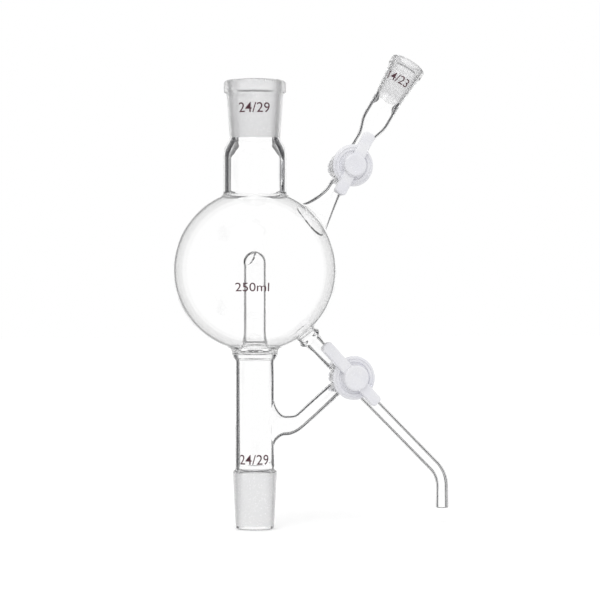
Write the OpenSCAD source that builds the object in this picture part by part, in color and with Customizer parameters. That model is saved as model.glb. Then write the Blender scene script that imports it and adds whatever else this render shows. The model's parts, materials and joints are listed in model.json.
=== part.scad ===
// Solvent-still head: a 250 ml collecting bulb between two ground joints, with a vapour tube sealed
// inside it, a vent arm with a two-way stopcock and a drain with a three-way stopcock.
// Millimetres, +Z up. Origin: centre of the large end of the lower ground cone.
// The side arms lie in the XZ plane and run towards +X. The stopcock handles face -Y.

/* [Main ground joints] */
// Diameter of the large end of the ground zones
joint_d = 24; // [20:0.5:26]
// Length of the ground zones
joint_len = 29; // [22:1:34]
// Plain rounded lip below the ground zone of the cone
cone_lip = 1.8; // [0:0.1:3]
// Height of the shoulder between the ground cone and the lower tube
cone_shoulder = 3; // [2:0.5:6]
// Wall of the upper socket just below its rim
socket_wall = 4; // [2.5:0.1:5]
// Wall of the upper socket at its foot
socket_foot_wall = 3.6; // [2:0.1:4.5]
// Plain length below the ground zone of the upper socket
socket_foot = 3.6; // [2:0.1:6]
// Height of the rolled rim of the upper socket
rim_h = 7.1; // [4:0.1:9]
// How far the rolled rim stands out beyond the socket wall
rim_out = 1.4; // [0.6:0.1:2.5]

/* [Lower tube and seal] */
// Outer diameter of the lower tube
tube_d = 21.2; // [19:0.1:22.5]
// Wall of the lower tube
tube_wall = 1.2; // [1:0.1:2.2]
// Length of the lower tube
tube_len = 58; // [52:1:70]
// Height from the top of the lower tube to the lowest point of the bulb
seal_h = 4.5; // [3.5:0.1:6]
// Outer diameter of the ring seal under the bulb
seal_d = 25; // [23.5:0.1:28]

/* [Bulb and neck] */
// Outer radius of the bulb
bulb_r = 44.7; // [42:0.1:50]
// Wall of the bulb
bulb_wall = 1.3; // [1.2:0.1:2.6]
// Outer diameter of the neck
neck_d = 34.5; // [33:0.1:38]
// Wall of the neck
neck_wall = 2; // [1.5:0.1:2.6]
// Straight length of the neck above the bulb
neck_len = 19.5; // [12:0.5:28]
// Height of the shoulder between the neck and the upper socket
neck_shoulder = 10; // [7:0.5:14]

/* [Vapour tube] */
// Outer diameter of the vapour tube inside the bulb
vapour_d = 12.4; // [10:0.1:13]
// Wall of the vapour tube
vapour_wall = 1; // [0.8:0.1:1.6]
// Height of the tip of the vapour tube above the centre of the bulb
vapour_rise = 10.4; // [4:0.2:20]
// Radius that the foot of the vapour tube gains where it is sealed to the bulb
vapour_flare = 3; // [2:0.1:3.5]
// Diameter of the port in the side of the vapour tube
port_d = 7.3; // [5:0.1:8]
// Depth of the port's centre below the tip of the vapour tube
port_drop = 4.6; // [4:0.1:8]
// Direction of the port in plan, from +X
port_deg = -154; // [-180:1:-100]

/* [Vent arm] */
// Place of the vent arm on the bulb, above the horizontal
vent_root_deg = 38; // [34:0.5:42]
// Slope of the vent arm and of the side socket
vent_deg = 58.5; // [54:0.5:62]
// Length of the vent arm from the bulb to the axis of its stopcock
vent_len = 35.3; // [32:0.5:45]
// Outer diameter of the vent arm
vent_d = 9; // [8:0.1:10]
// Length from the stopcock's axis to the foot of the side socket
stem_len = 44.5; // [40:0.5:52]
// Outer diameter of the stem next to the stopcock
stem_d = 9.8; // [9:0.1:11]
// Outer diameter of the bulge in the stem
stem_bulge_d = 15.4; // [14:0.1:17]

/* [Side ground joint] */
// Diameter of the large end of the side socket's ground zone
side_d = 14.5; // [13:0.1:16]
// Length of the side socket's ground zone
side_len = 23; // [18:0.5:26]
// Wall of the side socket
side_wall = 1.7; // [1.3:0.1:2.2]
// Height of the rolled rim of the side socket
side_rim_h = 5; // [3:0.1:6]
// How far the rim of the side socket stands out
side_rim_out = 1.2; // [0.6:0.1:1.8]

/* [Drain, return arm and drip tube] */
// Place of the drain on the bulb, from the horizontal
drain_root_deg = -50.3; // [-53:0.1:-48]
// Slope of the drain as it leaves the bulb
drain_deg = -45; // [-48:0.5:-42]
// Length of the drain from the bulb to the axis of its stopcock
drain_len = 34.8; // [31:0.2:40]
// Outer diameter of the drain and the return arm
arm_d = 8.6; // [7:0.1:9]
// Slope of the return arm, below the horizontal
return_deg = 40.7; // [36:0.1:45]
// Bend radius of the return arm where it reaches the lower tube
return_bend_r = 14; // [10:0.5:18]
// Slope of the drip tube, below the horizontal
drip_deg = 44.5; // [40:0.5:50]
// Length of the drip tube from the stopcock's axis to its bend
drip_run = 71.3; // [50:0.5:80]
// Bend radius of the drip tube
drip_bend_r = 16; // [10:0.5:24]
// Length of the upright end of the drip tube
drip_end = 12; // [8:0.5:15]
// Outer diameter of the drip tube
drip_d = 7; // [6:0.1:8]
// Wall of all the side tubes
side_tube_wall = 1.4; // [1:0.1:1.6]

/* [Stopcocks] */
// Outer diameter of the glass barrels
barrel_d = 16.4; // [15.6:0.1:18]
// Diameter of the passages through the stopcocks
passage_d = 4; // [2:0.1:4.4]
// Diameter of the tapered bore at the crossing of the passages
core_d = 11.5; // [10.6:0.1:12]
// Taper of the bore, in diameter over length
core_taper = 0.2; // [0.1:0.01:0.22]
// Gap between a plug and its barrel, on the radius
plug_gap = 0.06; // [0.03:0.01:0.1]
// Length of the vent barrel in front of the crossing
vent_front = 7; // [7:0.1:12]
// Length of the vent barrel behind the crossing
vent_back = 11; // [7:0.1:12]
// Length of the drain barrel in front of the crossing
drain_front = 10.3; // [7:0.1:12]
// Length of the drain barrel behind the crossing
drain_back = 8; // [7:0.1:12]

/* [Stopcock keys] */
// Diameter of the vent handle's round plate
vent_plate_d = 23.2; // [20:0.1:26]
// Diameter of the drain handle's round plate
drain_plate_d = 24.2; // [20:0.1:26]
// Thickness of the handles' round plates
plate_t = 2.4; // [1.8:0.1:3.5]
// Diameter of the vent handle's boss
vent_boss_d = 12.8; // [11:0.1:15]
// Diameter of the drain handle's boss
drain_boss_d = 14.2; // [11:0.1:15]
// Height of the bosses above the plates
boss_h = 3.8; // [2.5:0.1:5]
// Width of the handles' bars
bar_w = 6.4; // [5:0.1:8]
// Height of the bars above the plates
bar_h = 2; // [1:0.1:2.8]
// Length of the long arm of the vent handle's bar
vent_bar_long = 20; // [15:0.1:24]
// Length of the short arm of the vent handle's bar
vent_bar_short = 18; // [15:0.1:22]
// Direction of the vent handle's long arm, above the horizontal
vent_bar_deg = 61.5; // [0:0.5:180]
// Length of the long arm of the drain handle's bar
drain_bar_long = 25.2; // [20:0.5:28]
// Length of the short arm of the drain handle's bar
drain_bar_short = 19; // [15:0.5:22]
// Direction of the drain handle's long arm, above the horizontal
drain_bar_deg = 133; // [0:0.5:180]
// Width across the flats of the plugs' square tangs
tang_w = 6; // [4.5:0.1:7]
// Length of the square tangs
tang_h = 4; // [2.5:0.1:4.8]
// Gap between the parts that are stacked on a key
stack_gap = 0.1; // [0.05:0.01:0.2]
// Diameter of the threaded end of the plugs
stud_d = 6; // [5:0.1:7]
// Outer diameter of the washers and lock nuts
nut_d = 12.4; // [10.5:0.1:14]
// Thickness of the washers
washer_t = 1.2; // [0.8:0.1:2]
// Thickness of the sealing rings
ring_t = 1.8; // [1.5:0.1:2.4]
// Height of the lock nuts
nut_h = 5.5; // [4:0.1:8]
// Number of grip grooves in a lock nut
nut_grooves = 12; // [8:1:16]

/* [Hidden] */
$fn = 72;

// How far cutting shapes run past the surfaces that they cut
cut = 1;
// Taper of the ground joints, in diameter over length
joint_taper = 0.1;
// Gain in radius and length of the small fillets where tubes meet a barrel
barrel_fillet = 1.4;
// Fillets where the arms meet the bulb and the lower tube
drain_fillet = 2.5;
vent_fillet = 3.8;
return_fillet = 5.5;
// Recess of the plugs' small ends inside their barrels, which lets the washers draw them in
plug_recess = 0.6;
// Thread that stands out of a tightened nut
stud_end = 1;
// Rolled edges of the glass rims and of the moulded handles
rim_round = 1.6;
side_rim_round = 1.2;
edge_round = 0.6;
// Corners of the handles' bars
bar_round = 1.3;
// Plain edge above the large end of the ground cone
cone_edge = 0.5;
// Share of the ring seal's height in which it reaches its full width
seal_rise = 0.7;
// Straight stretch of a flared mouth outside the barrel or tube that it is fused to
mouth_step = 0.3;

// Heights on the main axis
tube_r = tube_d / 2;
tube_bore_r = tube_r - tube_wall;
tube_z = cone_shoulder;
tube_top = tube_z + tube_len;
bulb_z = tube_top + seal_h + bulb_r;
bulb_in = bulb_r - bulb_wall;
neck_r = neck_d / 2;
neck_bore_r = neck_r - neck_wall;
neck_low = bulb_z + bulb_in / 2;
neck_z = bulb_z + sqrt(bulb_r * bulb_r - neck_r * neck_r);
shoulder_z = neck_z + neck_len;
socket_z = shoulder_z + neck_shoulder;
socket_top = socket_z + socket_foot + joint_len;
joint_foot_r = joint_d / 2 - joint_len * joint_taper / 2;
socket_r = joint_d / 2 - rim_h * joint_taper / 2 + socket_wall;
socket_foot_r = joint_foot_r + socket_foot_wall;
rim_r = socket_r + rim_out;

// Vapour tube
vapour_r = vapour_d / 2;
vapour_bore_r = vapour_r - vapour_wall;
vapour_top = bulb_z + vapour_rise;
foot_r = vapour_r + vapour_flare;
foot_z = bulb_z - sqrt(bulb_in * bulb_in - foot_r * foot_r);
foot_h = vapour_flare * 2;

// Crossings of the stopcocks, as [x, z]
vent_root = [bulb_r * cos(vent_root_deg), bulb_z + bulb_r * sin(vent_root_deg)];
vent_cross = [vent_root[0] + vent_len * cos(vent_deg), vent_root[1] + vent_len * sin(vent_deg)];
drain_root = [bulb_r * cos(drain_root_deg), bulb_z + bulb_r * sin(drain_root_deg)];
drain_cross = [drain_root[0] + drain_len * cos(drain_deg), drain_root[1] + drain_len * sin(drain_deg)];
barrel_r = barrel_d / 2;
core_r = core_d / 2;
passage_r = passage_d / 2;

// Side tubes
vent_r = vent_d / 2;
stem_r = stem_d / 2;
bulge_r = stem_bulge_d / 2;
arm_r = arm_d / 2;
arm_bore_r = arm_r - side_tube_wall;
drip_r = drip_d / 2;
side_foot_r = side_d / 2 - side_len * joint_taper / 2;
side_r = side_d / 2 + side_wall;
side_rim_r = side_r + side_rim_out;
// The stem widens and narrows again at these shares of its length
bulge_start = 0.42;
bulge_low = 0.7;
bulge_high = 0.84;

// The return arm runs straight, turns level and ends in a flare on the lower tube
return_x = tube_r + mouth_step + return_fillet;
return_run = (drain_cross[0] - return_x - return_bend_r * sin(return_deg)) / cos(return_deg);
return_z = drain_cross[1] - return_run * sin(return_deg) - return_bend_r * (1 - cos(return_deg));

// Keys
vent_angles = [vent_deg, vent_deg + 180];
drain_angles = [180 + drain_deg, 180 + return_deg, -drip_deg];

// A cosine blend between two radii, as points [r, z]
function blend(r0, z0, r1, z1, n = 8) = [
    for (i = [0:n]) [r0 + (r1 - r0) * (1 - cos(180 * i / n)) / 2, z0 + (z1 - z0) * i / n]
];

// A quarter fillet that closes from radius r + f at height 0 to radius r at height h
function fillet(r, f, h, n = 6) = [
    for (i = [0:n]) [r + f * (1 - sin(90 * i / n)), h * (1 - cos(90 * i / n))]
];

function reversed(v) = [for (i = [len(v) - 1:-1:0]) v[i]];

// Rolled outer edge at the top of a rim, as points from the outside to the face
function rolled(r, z, e, n = 5) = [
    for (i = [0:n]) [r - e + e * cos(90 * i / n), z - e + e * sin(90 * i / n)]
];

module at(p, deg) {
    translate([p[0], 0, p[1]]) rotate([0, 90 - deg, 0]) children();
}

module at_stopcock(p) {
    translate([p[0], 0, p[1]]) rotate([90, 0, 0]) children();
}

module turned(points) {
    rotate_extrude() polygon(points);
}

module ring(r, r_in, h) {
    difference() {
        cylinder(h = h, r = r);
        translate([0, 0, -cut]) cylinder(h = h + 2 * cut, r = r_in);
    }
}

module bulb_solid() {
    translate([0, 0, bulb_z]) sphere(r = bulb_r, $fn = 128);
}

module barrel_solid(p, front, back) {
    at_stopcock(p) translate([0, 0, -back]) cylinder(h = front + back, r = barrel_r);
}

// A straight tube along +Z from the axis of a barrel, hollow, flared where it leaves the barrel
// and, by end_fillet, towards a mouth that runs on past its end
module tube_run(r, wall, run, end_fillet = 0, past = 0) {
    difference() {
        turned(concat(
            [[0, 0], [r + barrel_fillet, 0]],
            [for (q = fillet(r, barrel_fillet, barrel_fillet)) [q[0], barrel_r + mouth_step + q[1]]],
            end_fillet > 0
                ? [for (q = reversed(fillet(r, end_fillet, end_fillet))) [q[0], run - q[1]]]
                : [[r, run]],
            [[r + end_fillet, run + past], [0, run + past]]
        ));
        translate([0, 0, -cut]) cylinder(h = run + past + 2 * cut, r = r - wall);
    }
}

// A hollow bend in the XZ plane about the origin, from angle 0
module bend(bend_r, r, wall, deg) {
    rotate([90, 0, 0]) difference() {
        rotate_extrude(angle = deg) translate([bend_r, 0]) circle(r = r);
        rotate_extrude(angle = deg) translate([bend_r, 0]) circle(r = r - wall);
    }
}

// ---- Main axis ----

module upper_socket() {
    bead_z = socket_top - rim_h;
    color("whitesmoke") difference() {
        turned(concat(
            [[0, socket_z], [socket_foot_r, socket_z], [socket_r, bead_z], [rim_r - edge_round, bead_z]],
            [[rim_r, bead_z + edge_round]],
            rolled(rim_r, socket_top, rim_round),
            [[0, socket_top]]
        ));
        turned([
            [0, socket_z - cut], [joint_foot_r, socket_z - cut], [joint_foot_r, socket_z + socket_foot],
            [joint_d / 2, socket_top], [joint_d / 2, socket_top + cut], [0, socket_top + cut]
        ]);
    }
}

module neck_tube() {
    color("lightcyan") difference() {
        turned(concat(
            [[0, neck_low], [neck_r, neck_low]],
            blend(neck_r, shoulder_z, socket_foot_r, socket_z),
            [[0, socket_z]]
        ));
        turned(concat(
            [[0, neck_low - cut], [neck_bore_r, neck_low - cut]],
            blend(neck_bore_r, shoulder_z, joint_foot_r, socket_z),
            [[joint_foot_r, socket_z + cut], [0, socket_z + cut]]
        ));
        bulb_solid();
    }
}

module bulb() {
    color("lightcyan") difference() {
        bulb_solid();
        translate([0, 0, bulb_z]) sphere(r = bulb_in, $fn = 128);
        translate([0, 0, bulb_z]) cylinder(h = bulb_r + cut, r = neck_bore_r);
        translate([0, 0, bulb_z - bulb_r - cut]) cylinder(h = bulb_r, r = foot_r);
        at(vent_root, vent_deg) translate([0, 0, -bulb_r / 2])
            cylinder(h = bulb_r, r = vent_r - side_tube_wall);
        at(drain_root, drain_deg) translate([0, 0, -bulb_r / 2]) cylinder(h = bulb_r, r = arm_bore_r);
    }
}

// Outline of the vapour tube, drawn in by the wall for its bore, from a height below its flare
module vapour_outline(wall, low) {
    r = vapour_r - wall;
    turned(concat(
        [[0, low], [r + vapour_flare, low]],
        [for (q = fillet(r, vapour_flare, foot_h)) [q[0], foot_z + q[1] - wall]],
        [for (a = [0:15:90]) [r * cos(a), vapour_top - vapour_r + r * sin(a)]]
    ));
}

// The vapour tube's foot passes through the bottom of the bulb and is sealed there
module vapour_tube() {
    foot_low = bulb_z - sqrt(bulb_r * bulb_r - foot_r * foot_r);
    color("lightcyan") difference() {
        vapour_outline(0, foot_low);
        vapour_outline(vapour_wall, foot_low - cut);
        translate([0, 0, vapour_top - port_drop]) rotate([0, 90, port_deg])
            cylinder(h = vapour_d, d = port_d);
    }
}

module ring_seal() {
    seal_r = seal_d / 2;
    seal_top = bulb_z - sqrt(bulb_r * bulb_r - seal_r * seal_r);
    color("lightcyan") difference() {
        turned(concat(
            [[0, tube_top]],
            blend(tube_r, tube_top, seal_r, tube_top + seal_h * seal_rise, 5),
            [[seal_r, seal_top], [0, seal_top]]
        ));
        translate([0, 0, tube_top - cut]) cylinder(h = seal_h + bulb_r, r = tube_bore_r);
        bulb_solid();
    }
}

module lower_tube() {
    color("lightcyan") difference() {
        translate([0, 0, tube_z]) ring(tube_r, tube_bore_r, tube_len);
        translate([0, 0, return_z]) rotate([0, 90, 0]) cylinder(h = tube_r * 2, r = arm_bore_r);
    }
}

module lower_cone() {
    lip_r = joint_foot_r - cone_lip * joint_taper / 2;
    color("whitesmoke") difference() {
        turned(concat(
            [[0, -joint_len - cone_lip], [lip_r - edge_round, -joint_len - cone_lip]],
            [[lip_r, -joint_len - cone_lip + edge_round], [joint_foot_r, -joint_len], [joint_d / 2, 0]],
            blend(joint_d / 2, cone_edge, tube_r, tube_z, 4),
            [[0, tube_z]]
        ));
        translate([0, 0, -joint_len - cone_lip - cut])
            cylinder(h = joint_len + cone_lip + tube_z + 2 * cut, r = tube_bore_r);
    }
}

// ---- Vent arm ----

module vent_arm() {
    color("lightcyan") difference() {
        at(vent_cross, vent_deg + 180) tube_run(vent_r, side_tube_wall, vent_len, vent_fillet, vent_d);
        bulb_solid();
        barrel_solid(vent_cross, vent_front, vent_back);
    }
}

// A glass barrel with a tapered bore and one passage for each angle
module barrel(front, back, angles) {
    difference() {
        translate([0, 0, -back]) cylinder(h = front + back, r = barrel_r);
        translate([0, 0, -back - cut]) cylinder(
            h = front + back + 2 * cut,
            r1 = core_r - (back + cut) * core_taper / 2,
            r2 = core_r + (front + cut) * core_taper / 2
        );
        for (a = angles) rotate([0, 0, a]) rotate([0, 90, 0])
            translate([0, 0, core_r / 2]) cylinder(h = barrel_r, r = passage_r);
    }
}

module vent_barrel() {
    color("lightcyan") at_stopcock(vent_cross) barrel(vent_front, vent_back, vent_angles);
}

module stem_outline(wall, from) {
    foot = side_foot_r + side_wall;
    opening = wall > 0 ? 0 : barrel_fillet;
    turned(concat(
        [[0, from], [stem_r - wall + opening, from]],
        [for (q = fillet(stem_r - wall, opening, barrel_fillet)) [q[0], barrel_r + mouth_step + q[1]]],
        blend(stem_r - wall, stem_len * bulge_start, bulge_r - wall, stem_len * bulge_low),
        blend(bulge_r - wall, stem_len * bulge_high, foot - wall, stem_len, 5),
        [[0, stem_len]]
    ));
}

module socket_stem() {
    color("lightcyan") difference() {
        at(vent_cross, vent_deg) stem_outline(0, 0);
        at(vent_cross, vent_deg) stem_outline(side_tube_wall, -cut);
        barrel_solid(vent_cross, vent_front, vent_back);
    }
}

module side_socket() {
    top = side_len;
    bead_z = top - side_rim_h;
    color("whitesmoke") at(vent_cross, vent_deg) translate([0, 0, stem_len]) difference() {
        turned(concat(
            [[0, 0], [side_foot_r + side_wall, 0], [side_r, bead_z], [side_rim_r - edge_round, bead_z]],
            [[side_rim_r, bead_z + edge_round]],
            rolled(side_rim_r, top, side_rim_round),
            [[0, top]]
        ));
        translate([0, 0, -cut]) cylinder(h = 2 * cut, r = side_foot_r);
        cylinder(h = side_len, r1 = side_foot_r, r2 = side_d / 2);
        translate([0, 0, side_len - cut / 2]) cylinder(h = 2 * cut, r = side_d / 2);
    }
}

// ---- Drain, return arm and drip tube ----

module drain_tube() {
    color("lightcyan") difference() {
        at(drain_cross, drain_deg + 180)
            tube_run(arm_r, side_tube_wall, drain_len, drain_fillet, arm_d);
        bulb_solid();
        barrel_solid(drain_cross, drain_front, drain_back);
    }
}

module drain_barrel() {
    color("lightcyan") at_stopcock(drain_cross) barrel(drain_front, drain_back, drain_angles);
}

module return_arm() {
    color("lightcyan") difference() {
        at(drain_cross, 180 + return_deg) tube_run(arm_r, side_tube_wall, return_run);
        barrel_solid(drain_cross, drain_front, drain_back);
    }
}

// The return arm's bend, with the flare that is fused to the lower tube
module return_elbow() {
    color("lightcyan") difference() {
        union() {
            translate([return_x, 0, return_z + return_bend_r]) rotate([0, 90, 0])
                bend(return_bend_r, arm_r, side_tube_wall, return_deg);
            translate([0, 0, return_z]) rotate([0, 90, 0]) turned(concat(
                [[arm_bore_r, 0], [arm_r + return_fillet, 0]],
                [for (q = fillet(arm_r, return_fillet, return_fillet)) [q[0], tube_r + mouth_step + q[1]]],
                [[arm_bore_r, return_x]]
            ));
        }
        translate([0, 0, tube_z]) cylinder(h = tube_len, r = tube_r);
    }
}

module drip_tube() {
    color("lightcyan") difference() {
        at(drain_cross, -drip_deg) tube_run(drip_r, side_tube_wall, drip_run);
        barrel_solid(drain_cross, drain_front, drain_back);
    }
}

// The drip tube's bend and upright end
module drip_tip() {
    color("lightcyan") translate([
        drain_cross[0] + drip_run * cos(drip_deg) - drip_bend_r * sin(drip_deg), 0,
        drain_cross[1] - drip_run * sin(drip_deg) - drip_bend_r * cos(drip_deg)
    ]) union() {
        bend(drip_bend_r, drip_r, side_tube_wall, 90 - drip_deg);
        translate([drip_bend_r, 0, -drip_end]) ring(drip_r, drip_r - side_tube_wall, drip_end);
    }
}

// ---- Stopcock keys: local +Z is the turning axis, towards the handle ----

// A plug with a passage through it, and a branch square to the passage on a three-way plug
module plug(front, back, deg, three_way) {
    low = -back + plug_recess;
    high = front + stack_gap;
    stud_len = washer_t + ring_t + nut_h + stud_end + stack_gap * 2;
    difference() {
        union() {
            translate([0, 0, low]) cylinder(
                h = high - low,
                r1 = core_r + low * core_taper / 2 - plug_gap,
                r2 = core_r + high * core_taper / 2 - plug_gap
            );
            translate([0, 0, -back - stud_len]) cylinder(h = stud_len + plug_recess, d = stud_d);
            translate([-tang_w / 2, -tang_w / 2, high]) cube([tang_w, tang_w, tang_h]);
        }
        rotate([0, 0, deg]) rotate([0, 90, 0])
            translate([0, 0, -barrel_r]) cylinder(h = barrel_d, r = passage_r);
        if (three_way) rotate([0, 0, deg + 90]) rotate([0, 90, 0]) cylinder(h = barrel_r, r = passage_r);
    }
}

// A handle: round plate, boss and a bar with rounded corners
module handle(front, plate_d, boss_d, long, short, deg) {
    difference() {
        translate([0, 0, front + stack_gap]) union() {
            turned([
                [0, 0], [plate_d / 2 - edge_round, 0], [plate_d / 2, edge_round],
                [plate_d / 2, plate_t - edge_round], [plate_d / 2 - edge_round, plate_t], [0, plate_t]
            ]);
            cylinder(h = plate_t + boss_h - edge_round, d = boss_d);
            translate([0, 0, plate_t + boss_h - edge_round])
                cylinder(h = edge_round, d1 = boss_d, d2 = boss_d - 2 * edge_round);
            rotate([0, 0, deg]) linear_extrude(plate_t + bar_h) union() {
                translate([-short, -bar_w / 2 + bar_round]) square([short + long, bar_w - 2 * bar_round]);
                translate([-short + bar_round, -bar_w / 2]) square([short + long - 2 * bar_round, bar_w]);
                for (x = [bar_round - short, long - bar_round], y = [-1, 1])
                    translate([x, y * (bar_w / 2 - bar_round)]) circle(r = bar_round);
            }
        }
        translate([-tang_w / 2, -tang_w / 2, front - cut]) cube([tang_w, tang_w, tang_h + cut + stack_gap]);
    }
}

module washer(back) {
    translate([0, 0, -back - stack_gap - washer_t]) ring(nut_d / 2, stud_d / 2, washer_t);
}

module sealing_ring(back) {
    translate([0, 0, -back - stack_gap - washer_t - ring_t / 2])
        rotate_extrude() translate([stud_d / 2 + ring_t / 2, 0]) circle(d = ring_t);
}

module lock_nut(back) {
    top = -back - stack_gap * 2 - washer_t - ring_t;
    groove_r = PI * nut_d / nut_grooves / 4;
    translate([0, 0, top - nut_h]) difference() {
        cylinder(h = nut_h, d = nut_d);
        translate([0, 0, -cut]) cylinder(h = nut_h + 2 * cut, d = stud_d + 2 * plug_gap);
        for (i = [1:nut_grooves]) rotate([0, 0, 360 * i / nut_grooves])
            translate([nut_d / 2 + groove_r / 2, 0, -cut]) cylinder(h = nut_h + 2 * cut, r = groove_r);
    }
}

module vent_plug() {
    color("ghostwhite") at_stopcock(vent_cross) plug(vent_front, vent_back, vent_deg, false);
}

module vent_handle() {
    color("lavender") at_stopcock(vent_cross)
        handle(vent_front, vent_plate_d, vent_boss_d, vent_bar_long, vent_bar_short, vent_bar_deg);
}

module vent_washer() {
    color("ghostwhite") at_stopcock(vent_cross) washer(vent_back);
}

module vent_sealing_ring() {
    color("dimgray") at_stopcock(vent_cross) sealing_ring(vent_back);
}

module vent_lock_nut() {
    color("lavender") at_stopcock(vent_cross) lock_nut(vent_back);
}

module drain_plug() {
    color("ghostwhite") at_stopcock(drain_cross) plug(drain_front, drain_back, drain_deg + 180, true);
}

module drain_handle() {
    color("lavender") at_stopcock(drain_cross)
        handle(drain_front, drain_plate_d, drain_boss_d, drain_bar_long, drain_bar_short, drain_bar_deg);
}

module drain_washer() {
    color("ghostwhite") at_stopcock(drain_cross) washer(drain_back);
}

module drain_sealing_ring() {
    color("dimgray") at_stopcock(drain_cross) sealing_ring(drain_back);
}

module drain_lock_nut() {
    color("lavender") at_stopcock(drain_cross) lock_nut(drain_back);
}

upper_socket();
neck_tube();
bulb();
vapour_tube();
ring_seal();
lower_tube();
lower_cone();
vent_arm();
vent_barrel();
socket_stem();
side_socket();
drain_tube();
drain_barrel();
return_arm();
return_elbow();
drip_tube();
drip_tip();
vent_plug();
vent_handle();
vent_washer();
vent_sealing_ring();
vent_lock_nut();
drain_plug();
drain_handle();
drain_washer();
drain_sealing_ring();
drain_lock_nut();
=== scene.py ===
import json
import math
import bmesh
import bpy
from mathutils import Matrix, Vector
from mathutils.bvhtree import BVHTree

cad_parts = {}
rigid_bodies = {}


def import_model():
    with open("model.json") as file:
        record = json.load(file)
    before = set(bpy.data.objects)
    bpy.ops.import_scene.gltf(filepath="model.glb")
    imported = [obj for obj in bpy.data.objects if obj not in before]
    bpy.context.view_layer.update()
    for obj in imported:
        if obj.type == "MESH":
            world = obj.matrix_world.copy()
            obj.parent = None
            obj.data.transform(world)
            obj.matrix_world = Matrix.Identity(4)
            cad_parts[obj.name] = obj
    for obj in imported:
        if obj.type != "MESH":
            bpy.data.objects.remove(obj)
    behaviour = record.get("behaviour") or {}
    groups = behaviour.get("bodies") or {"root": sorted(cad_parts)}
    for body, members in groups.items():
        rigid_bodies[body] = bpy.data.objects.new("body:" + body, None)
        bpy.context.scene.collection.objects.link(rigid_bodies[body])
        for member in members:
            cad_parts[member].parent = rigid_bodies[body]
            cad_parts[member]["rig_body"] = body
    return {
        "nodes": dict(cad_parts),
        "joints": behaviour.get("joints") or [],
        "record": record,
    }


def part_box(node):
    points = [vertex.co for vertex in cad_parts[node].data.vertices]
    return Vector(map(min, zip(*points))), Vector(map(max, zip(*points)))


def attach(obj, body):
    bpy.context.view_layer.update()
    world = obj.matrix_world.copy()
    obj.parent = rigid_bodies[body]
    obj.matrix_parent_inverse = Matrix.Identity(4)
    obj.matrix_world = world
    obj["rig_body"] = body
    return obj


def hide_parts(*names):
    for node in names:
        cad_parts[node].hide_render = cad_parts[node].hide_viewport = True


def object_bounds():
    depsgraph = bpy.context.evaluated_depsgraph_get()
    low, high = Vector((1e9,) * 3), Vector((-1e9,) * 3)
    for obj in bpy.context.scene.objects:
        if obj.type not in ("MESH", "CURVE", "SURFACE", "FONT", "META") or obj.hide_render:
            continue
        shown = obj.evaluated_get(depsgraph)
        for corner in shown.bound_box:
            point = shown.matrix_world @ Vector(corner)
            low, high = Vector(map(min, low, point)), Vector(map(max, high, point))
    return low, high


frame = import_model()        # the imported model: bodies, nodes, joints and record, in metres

# Looks of a solvent-still head: one fused glass body with frosted ground joints and printed marks,
# and two stopcock keys of moulded polymer. Everything is in metres, in the frame of the CAD model:
# +Z up the main axis, side arms towards +X, stopcock handles towards -Y.

CAD_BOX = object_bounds()
MM = 0.001

# ---- Image points, in the photograph's 600 x 600 frame ----

IMAGE_W = 600
IMAGE_H = 600
PHOTO_EDGES = {
    "left": 173.3,
    "right": 446.0,
    "top": 53.0,
    "bottom": 528.5,
}
PHOTO_POINTS = {
    "upper_mark": (254.2, 107.0),
    "bulb_mark": (252.2, 287.0),
    "lower_mark": (254.0, 460.0),
    "side_mark": (398.5, 78.2),
    "upper_rim": (255.0, 79.5),
    "cone_tip": (254.0, 528.0),
    "vapour_port": (249.4, 258.4),
    "vent_boss": (353.5, 162.7),
    "drain_boss": (355.5, 378.4),
    "drip_end": (441.0, 507.5),
    "side_rim": (406.0, 66.0),
}

# ---- Sizes ----


def mount(name):
    """Place and axis of one of the record's mounts."""
    found = next(m for m in frame["record"]["mounts"] if m["name"] == name)
    return Vector(found["pos_m"]), Vector(found["axis"])


def pivot(name):
    """Place of one of the joints."""
    return Vector(next(j["pos_m"] for j in frame["joints"] if j["name"] == name))


def radius_of(node):
    """Half of what a round node measures along Y."""
    low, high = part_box(node)
    return (high.y - low.y) / 2


def heights_of(node):
    low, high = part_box(node)
    return low.z, high.z


# Joints, walls and details of the glass that the boxes don't show. The frosted zone of the upper
# socket starts FROST_FROM above its foot, and HOLE_R is the way through barrels and plugs.
JOINT_TAPER = 0.05
JOINT_R = 12 * MM
GROUND_LEN = 29 * MM
SIDE_MOUTH_R = 7.25 * MM
SIDE_GROUND_LEN = 23 * MM
FROST_FROM = 1.2 * MM
HOLE_R = 2 * MM
TUBE_WALL = 1.5 * MM
NECK_WALL = 2.7 * MM
BULB_WALL = 1.3 * MM
VAPOUR_WALL = 1.0 * MM
SIDE_WALL = 1.2 * MM
VENT_R = 4.5 * MM
ARM_R = 4.3 * MM
STEM_R = 4.9 * MM
BULGE_R = 7.7 * MM

TUBE_R = radius_of("lower_tube")
TUBE_LOW, TUBE_TOP = heights_of("lower_tube")
CONE_LOW = heights_of("lower_cone")[0]
CONE_R = radius_of("lower_cone")
SEAL_R = radius_of("ring_seal")
NECK_R = radius_of("neck_tube")
BULB_R = radius_of("bulb")
BULB_Z = heights_of("ring_seal")[1] + math.sqrt(BULB_R**2 - SEAL_R**2)
SOCKET_FOOT, SOCKET_TOP = heights_of("upper_socket")
RIM_R = radius_of("upper_socket")
VAPOUR_FLARE = 3.0 * MM
VAPOUR_R = radius_of("vapour_tube") - VAPOUR_FLARE
VAPOUR_TOP = heights_of("vapour_tube")[1]
VENT_AT = pivot("vent_key_turn")
DRAIN_AT = pivot("drain_key_turn")
SIDE_TOP, SIDE_WAY = mount("side_joint")
DRIP_AT = mount("drip_outlet")[0]
DRIP_R = radius_of("drip_tip")
SIDE_RIM_R = radius_of("side_socket")
BARREL_LOW, BARREL_TOP = heights_of("vent_barrel")
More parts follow.
